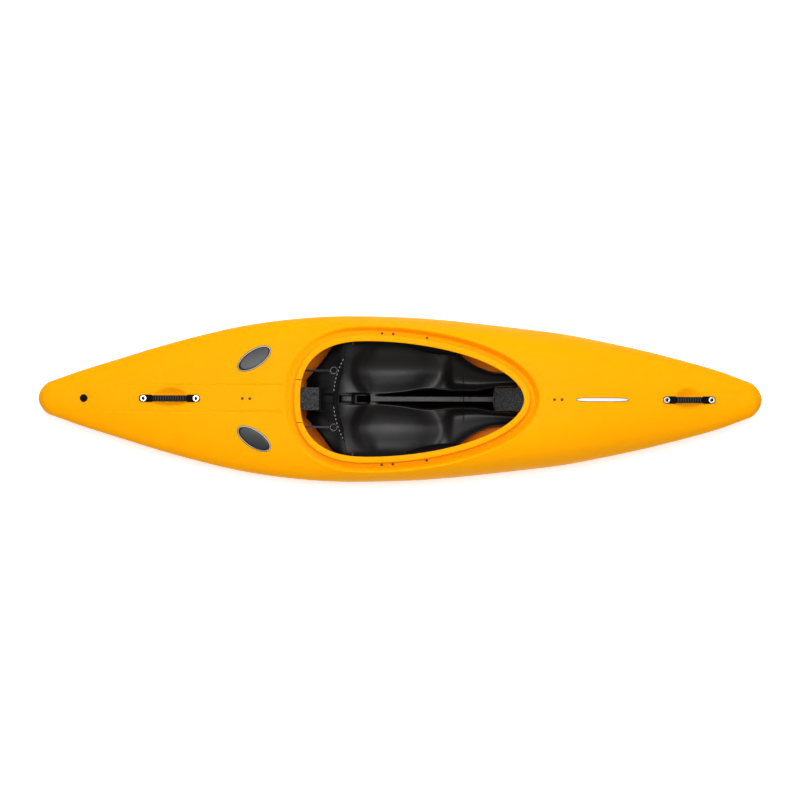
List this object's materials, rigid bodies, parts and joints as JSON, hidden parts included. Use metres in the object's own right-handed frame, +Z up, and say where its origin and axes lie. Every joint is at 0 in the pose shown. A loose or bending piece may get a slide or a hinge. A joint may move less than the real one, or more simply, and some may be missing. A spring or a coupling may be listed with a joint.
{
  "type": "whitewater kayak",
  "caption": "Short rockered whitewater kayak with a coaming, moulded seat, backband, foam pillars, sliding foot pedals, grab handles and a stern drain plug.",
  "frame": {"origin": "under the middle of the hull's length, on the flat bottom that it rests on", "axes": "+X towards the bow, +Y towards the left (port) side, +Z up"},
  "size_m": [2.72, 0.6234, 0.332],
  "materials": {
    "shell": "satin",
    "seat": "gloss",
    "foam": "matte",
    "webbing": "matte",
    "strap": "matte",
    "fabric": "matte",
    "rubber": "matte",
    "black": "satin",
    "steel": "satin",
    "aluminium": "satin"
  },
  "bodies": {
    "hull": {"hull_shell": "shell", "seat_pan": "seat", "front_pillar": "foam", "rear_pillar": "foam", "pillar_bracket": "black", "drain_bush": "black", "seat_screw_left_rear": "steel", "seat_screw_left_front": "steel", "brace_screw_left": "steel", "seat_screw_right_rear": "steel", "seat_screw_right_front": "steel", "brace_screw_right": "steel", "front_pillar_screw_rear": "steel", "front_pillar_screw_front": "steel", "rear_pillar_screw_rear": "steel", "rear_pillar_screw_front": "steel", "bow_handle_strap": "webbing", "bow_handle_grip": "rubber", "bow_handle_washer_rear": "steel", "bow_handle_screw_rear": "steel", "bow_handle_washer_front": "steel", "bow_handle_screw_front": "steel", "stern_handle_strap": "webbing", "stern_handle_grip": "rubber", "stern_handle_washer_rear": "steel", "stern_handle_screw_rear": "steel", "stern_handle_washer_front": "steel", "stern_handle_screw_front": "steel", "backband_screw_left": "steel", "backband_screw_right": "steel", "rear_strap_left": "strap", "rear_strap_right": "strap", "thigh_brace_left": "black", "thigh_brace_right": "black", "foot_rail_left": "aluminium", "foot_rail_right": "aluminium", "rail_bolt_left_rear": "steel", "rail_bolt_left_front": "steel", "rail_bolt_right_rear": "steel", "rail_bolt_right_front": "steel"},
    "backband": {"backband_shell": "black", "backband_pad": "fabric", "backband_strap_left": "webbing", "backband_strap_right": "webbing", "backband_ring_left": "steel", "backband_ring_right": "steel"},
    "left_pedal": {"foot_pedal_left": "black"},
    "right_pedal": {"foot_pedal_right": "black"},
    "left_lever": {"pedal_lever_left": "rubber"},
    "right_lever": {"pedal_lever_right": "rubber"},
    "plug": {"drain_plug": "rubber"}
  },
  "joints": [
    {"name": "backband_tilt", "type": "hinge", "parent": "hull", "child": "backband", "pos_m": [-0.178, 0, 0.172], "axis": [0, 1, 0], "range_deg": [0, 50]},
    {"name": "left_pedal_slide", "type": "slide", "parent": "hull", "child": "left_pedal", "axis": [0.9808, -0.1952, 0], "range_m": [-0.12, 0.12]},
    {"name": "right_pedal_slide", "type": "slide", "parent": "hull", "child": "right_pedal", "axis": [0.9808, 0.1952, 0], "range_m": [-0.12, 0.12]},
    {"name": "left_lever_lift", "type": "hinge", "parent": "left_pedal", "child": "left_lever", "pos_m": [0.71997, 0.17293, 0.138], "axis": [-0.1952, -0.9808, 0], "range_deg": [0, 25], "stiffness_Nm_per_rad": 0.3, "springref_deg": -5.73},
    {"name": "right_lever_lift", "type": "hinge", "parent": "right_pedal", "child": "right_lever", "pos_m": [0.71997, -0.17293, 0.138], "axis": [0.1952, -0.9808, 0], "range_deg": [0, 25], "stiffness_Nm_per_rad": 0.3, "springref_deg": -5.73},
    {"name": "drain_plug_pull", "type": "slide", "parent": "hull", "child": "plug", "axis": [-0.0825, 0, 0.9966], "range_m": [0, 0.04]}
  ]
}
